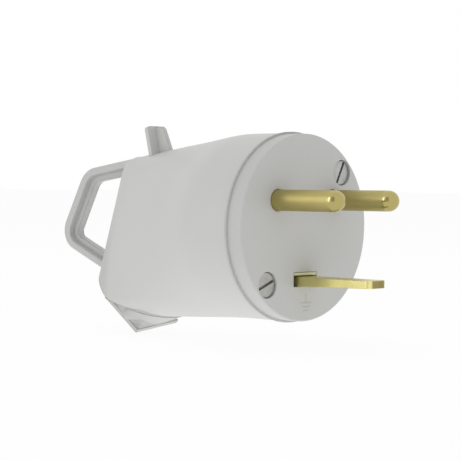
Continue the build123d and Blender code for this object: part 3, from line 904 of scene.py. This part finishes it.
class PLUG_OT_outlet_skirt(bpy.types.Operator):
    """Run the neck of the cord outlet out into its lip below and up to the housing above"""

    bl_idname = "plug.outlet_skirt"
    bl_label = "Outlet skirt"

    # Steps round the neck, corners of a section and length of the measuring rays
    first_degrees, swept_degrees, angle_steps = -70.0, 320.0, 180
    curve_steps, hidden_sides = 8, 3
    least_sections = 4
    far = 0.02

    # Skirt on the lip: where it is measured, how it rises and where it is left out
    edge_level, foot_level = 0.0005, 0.00005
    rise_on_edge, rise_per_ledge = 0.0004, 0.6
    least_ledge, least_rise = 0.0001, 0.0003
    bend_out, bend_up = 0.4, 0.3

    # Collar under the wall: how the neck's rim is found and where it is left out
    climb, deepest, rim_drop = 0.00002, 0.01, 0.0002
    rim_margin, slot_overlap = 0.0001, 0.00015
    widest_slot, lowest_rim = 0.0015, 0.0004

    def execute(self, context):
        size = context.scene.plug_outlet_skirt
        depsgraph = context.evaluated_depsgraph_get()
        neck = BVHTree.FromObject(frame["nodes"]["outlet_sleeve"], depsgraph)
        wall = BVHTree.FromObject(frame["nodes"]["housing"], depsgraph)
        bm = bmesh.new()
        for section in (self.skirt, self.collar):
            for run in self.runs(section, size, neck, wall):
                loops = [[bm.verts.new(corner) for corner in corners] for corners in run]
                join_loops(bm, loops, smooth_sides=len(run[0]) - self.hidden_sides)
        outlet_piece(context, "outlet_skirt", bm)
        return {"FINISHED"}

    def runs(self, section, size, neck, wall):
        """Sections side by side round the neck, a new run after each gap."""
        found = [[]]
        for step in range(self.angle_steps + 1):
            degrees = self.first_degrees + self.swept_degrees * step / self.angle_steps
            corners = section(size, radians(degrees), neck, wall)
            if corners:
                found[-1].append(corners)
            elif found[-1]:
                found.append([])
        found = [run for run in found if len(run) >= self.least_sections]
        if not found:
            raise RuntimeError("the neck of the outlet doesn't stand free")
        return found

    def probe(self, size, angle):
        """Ways to measure outwards from the neck's middle at one angle round it."""
        mouth, axis, across, along = cord_outlet()
        outward = across * cos(angle) + along * sin(angle)
        middle = mouth + along * size.middle

        def place(out, depth):
            return middle + outward * out - axis * depth

        def reach(tree, depth):
            distance = tree.ray_cast(place(self.far, depth), -outward, self.far)[-1]
            return 0.0 if distance is None else self.far - distance

        def height(tree, out, depth):
            distance = tree.ray_cast(place(out, depth), -axis, self.far)[-1]
            return self.far if distance is None else depth + distance

        return place, reach, height

    def skirt(self, size, angle, neck, wall):
        """Section from the lip's edge up to the neck, or nothing where the lip has no ledge."""
        place, reach, height = self.probe(size, angle)
        edge = reach(neck, size.lip_top - self.edge_level)
        foot = reach(neck, size.lip_top + self.foot_level)
        ledge = edge - foot
        roof = min(height(wall, out, size.lip_top) for out in (edge, foot))
        most = self.rise_on_edge + self.rise_per_ledge * ledge
        rise = min(size.rise, most, roof - size.lip_top)
        if ledge < self.least_ledge or rise < self.least_rise:
            return None
        low, high = size.lip_top - size.sink, size.lip_top + rise
        start = Vector((edge, low))
        bend = Vector((foot + self.bend_out * ledge, size.lip_top + self.bend_up * rise))
        end = Vector((reach(neck, high) - size.sink, high))
        curve = []
        for level in range(self.curve_steps + 1):
            share = level / self.curve_steps
            curve.append(start.lerp(bend, share).lerp(bend.lerp(end, share), share))
        inner = min(foot, end.x) - size.inner_side
        return [place(out, depth) for out, depth in curve + [(inner, high), (inner, low)]]

    def collar(self, size, angle, neck, wall):
        """Section that closes the slot from the neck's rim to the wall, or nothing without one."""
        place, reach, height = self.probe(size, angle)
        depth = size.lip_top + self.foot_level
        rim = reach(neck, depth)
        while depth < self.deepest:
            after = reach(neck, depth + self.climb)
            if after < rim - self.rim_drop or reach(wall, depth) >= rim:
                break
            rim, depth = after, depth + self.climb
        rim -= size.sink
        top = height(wall, rim, depth - self.rim_margin)
        if top - depth > self.widest_slot or depth - size.lip_top < self.lowest_rim:
            return None
        low, high = depth - self.slot_overlap, top + self.slot_overlap
        inner = rim - size.inner_side
        corners = [(rim, low), (rim, high), (inner, high), (inner, low)]
        return [place(out, level) for out, level in corners]


class PLUG_OT_pin_roots(bpy.types.Operator):
    """Carry the full width of the line pins down into the face, round their thinner necks"""

    bl_idname = "plug.pin_roots"
    bl_label = "Pin roots"

    turn_steps = 96

    def execute(self, context):
        size = context.scene.plug_pin_roots
        pins = [mount for mount in frame["record"]["mounts"] if mount["kind"] == "pin"]
        if not pins:
            raise RuntimeError("the record has no pins")
        bm = bmesh.new()
        for pin in pins:
            self.root(bm, size, Vector(pin["pos_m"]), pin["dims"]["r_mm"] / MM_PER_METRE)
        finish = frame["nodes"]["line_pin_left"].data.materials[0]
        roots = add_piece(context, "pin_roots", bm, finish)
        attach(roots, "root")
        return {"FINISHED"}

    def root(self, bm, size, centre, radius):
        """One closed ring round a pin's neck, from the bottom of its hole up to the shank."""
        outer, inner = radius - size.play, size.inner_radius
        corners = [
            (size.front, outer), (size.bottom, outer), (size.bottom, inner), (size.front, inner),
        ]
        loops = []
        for step in range(self.turn_steps):
            turn = 2 * pi * step / self.turn_steps
            loops.append([
                bm.verts.new((x, centre.y + out * cos(turn), centre.z + out * sin(turn)))
                for x, out in corners
            ])
        join_loops(bm, loops, smooth_sides=1, ring=True)


class PLUG_OT_stage(bpy.types.Operator):
    """Set up the floor, the light and the camera"""

    bl_idname = "plug.stage"
    bl_label = "Stage"

    floor_white = (0.95, 0.98)
    floor_glow_share = 0.93
    paper_scale, paper_detail = 400.0, 3.0
    card_place, card_size, card_spread = (0.25, -0.72, 0.15), (0.45, 1.0), 0.05
    strip_place, strip_size = (-0.4, -0.8, 0.15), (0.2, 0.9)
    top_place, top_size = (-0.1, -0.15, 0.9), (0.9, 0.9)
    sheet_cells = 8
    sensor_width = 36.0
    nearest, farthest = 0.01, 50.0

    def execute(self, context):
        stage = context.scene.plug_stage
        context.scene.view_settings.view_transform = "Standard"
        self.floor(context, stage)
        self.card(context, stage)
        self.world(context, stage)
        strip = self.lamp(context, "strip_lamp", self.strip_place, self.strip_size)
        strip.data.energy = stage.strip_energy
        strip.visible_diffuse = False
        top = self.lamp(context, "top_lamp", self.top_place, self.top_size)
        top.data.energy = stage.top_energy
        top.visible_glossy = False
        self.camera(context, stage)
        return {"FINISHED"}

    def floor(self, context, stage):
        """Wide pale floor, a light table that shows white and keeps the plug's soft shadow."""
        floor = self.sheet(context, "floor", stage.floor_size, stage.floor_size)
        floor.location = (0.0, 0.0, cad_box[0][2] - stage.floor_gap)
        tree = self.paper(floor)
        matt = self.matt(tree, *self.floor_white)
        sockets = {"Color": WHITE, "Strength": self.strength(tree, stage.floor_glow)}
        glow = tree.add("ShaderNodeEmission", None, sockets)
        sockets = {0: self.floor_glow_share, 1: matt, 2: glow}
        surface = tree.add("ShaderNodeMixShader", None, sockets)
        tree.add("ShaderNodeOutputMaterial", None, {"Surface": surface})

    def card(self, context, stage):
        """Tall grey card to the left of the camera that only shows in the plug's reflections."""
        card = self.sheet(context, "front_card", *self.card_size)
        card.location = self.card_place
        card.rotation_euler = (-card.location).to_track_quat("Z", "Y").to_euler()
        card.visible_camera = False
        card.visible_diffuse = False
        card.visible_shadow = False
        tree = self.paper(card)
        low, high = 1.0 - self.card_spread, 1.0 + self.card_spread
        matt = self.matt(tree, stage.card_grey * low, stage.card_grey * high)
        tree.add("ShaderNodeOutputMaterial", None, {"Surface": matt})

    def sheet(self, context, name, width, depth):
        """A flat piece of the stage."""
        mesh = bpy.data.meshes.new(name)
        bm = bmesh.new()
        cells = self.sheet_cells
        bmesh.ops.create_grid(bm, x_segments=cells, y_segments=cells, size=0.5)
        bmesh.ops.scale(bm, vec=(width, depth, 1.0), verts=bm.verts)
        bm.to_mesh(mesh)
        bm.free()
        sheet = bpy.data.objects.new(name, mesh)
        context.scene.collection.objects.link(sheet)
        return sheet

    def paper(self, sheet):
        """The empty tree of a stage piece's own material."""
        material = bpy.data.materials.new(sheet.name + "_paper")
        material.use_nodes = True
        sheet.data.materials.append(material)
        return Tree(material.node_tree)

    def matt(self, tree, low, high):
        """Matt paper whose grey varies a little."""
        fibres = tree.noise(tree.place(), self.paper_scale, self.paper_detail)
        colour = tree.blend(fibres, (low,) * 3, (high,) * 3)
        return tree.add("ShaderNodeBsdfDiffuse", None, {"Color": colour})

    def strength(self, tree, light):
        """1 where a surface is seen, also in a reflection or through glass, and else its light."""
        camera = tree.add("ShaderNodeLightPath", output="Is Camera Ray")
        glossy = tree.add("ShaderNodeLightPath", output="Is Glossy Ray")
        clear = tree.add("ShaderNodeLightPath", output="Is Transmission Ray")
        seen = (camera + glossy + clear).limited()
        return seen + (1.0 - seen) * light

    def world(self, context, stage):
        """Even white light from all round."""
        world = bpy.data.worlds.new("studio")
        context.scene.world = world
        world.use_nodes = True
        tree = Tree(world.node_tree)
        sockets = {"Color": WHITE, "Strength": self.strength(tree, stage.ambient)}
        sky = tree.add("ShaderNodeBackground", None, sockets)
        tree.add("ShaderNodeOutputWorld", None, {"Surface": sky})

    def lamp(self, context, name, place, size):
        """Soft lamp of a width and height that faces the plug."""
        light = bpy.data.lights.new(name, "AREA")
        light.shape = "RECTANGLE"
        light.size, light.size_y = size
        lamp = bpy.data.objects.new(name, light)
        lamp.location = place
        lamp.rotation_euler = (-lamp.location).to_track_quat("-Z", "Y").to_euler()
        context.scene.collection.objects.link(lamp)
        return lamp

    def camera(self, context, stage):
        """Camera that looks at the pins' side from slightly above."""
        lens = bpy.data.cameras.new("camera")
        lens.lens = stage.camera_lens
        lens.sensor_width = self.sensor_width
        lens.clip_start, lens.clip_end = self.nearest, self.farthest
        camera = bpy.data.objects.new("camera", lens)
        camera.location = stage.camera_place
        camera.rotation_euler = stage.camera_turn
        context.scene.collection.objects.link(camera)
        context.scene.camera = camera


# Panel and registration


class PLUG_PT_panel(bpy.types.Panel):
    """Steps that dress the plug and set up its stage"""

    bl_idname = "PLUG_PT_panel"
    bl_label = "Plug"
    bl_space_type = "VIEW_3D"
    bl_region_type = "UI"
    bl_category = "Plug"

    def draw(self, context):
        for operator in operators:
            self.layout.operator(operator.bl_idname)
        for settings in groups:
            group = getattr(context.scene, settings)
            column = self.layout.column(align=True)
            for name in group.__annotations__:
                column.prop(group, name)


operators = [
    PLUG_OT_mouldings, PLUG_OT_brass, PLUG_OT_screws, PLUG_OT_earth_mark,
    PLUG_OT_outlet_cheeks, PLUG_OT_outlet_skirt, PLUG_OT_pin_roots, PLUG_OT_stage,
]
groups = {
    "plug_finishes": PlugFinishes,
    "plug_earth_mark": EarthMarkSizes,
    "plug_outlet_cheeks": OutletCheekSizes,
    "plug_outlet_skirt": OutletSkirtSizes,
    "plug_pin_roots": PinRootSizes,
    "plug_stage": StageSettings,
}


def register():
    """Registers the settings, the operators and the panel."""
    for name, group in groups.items():
        bpy.utils.register_class(group)
        setattr(bpy.types.Scene, name, bpy.props.PointerProperty(type=group))
    for operator in operators:
        bpy.utils.register_class(operator)
    bpy.utils.register_class(PLUG_PT_panel)


def unregister():
    """Takes the panel, the operators and the settings away again."""
    bpy.utils.unregister_class(PLUG_PT_panel)
    for operator in reversed(operators):
        bpy.utils.unregister_class(operator)
    for name, group in groups.items():
        delattr(bpy.types.Scene, name)
        bpy.utils.unregister_class(group)


def main():
    """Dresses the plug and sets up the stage."""
    register()
    bpy.ops.plug.mouldings()
    bpy.ops.plug.brass()
    bpy.ops.plug.screws()
    bpy.ops.plug.earth_mark()
    bpy.ops.plug.outlet_cheeks()
    bpy.ops.plug.outlet_skirt()
    bpy.ops.plug.pin_roots()
    bpy.ops.plug.stage()


if __name__ == "__main__":
    main()
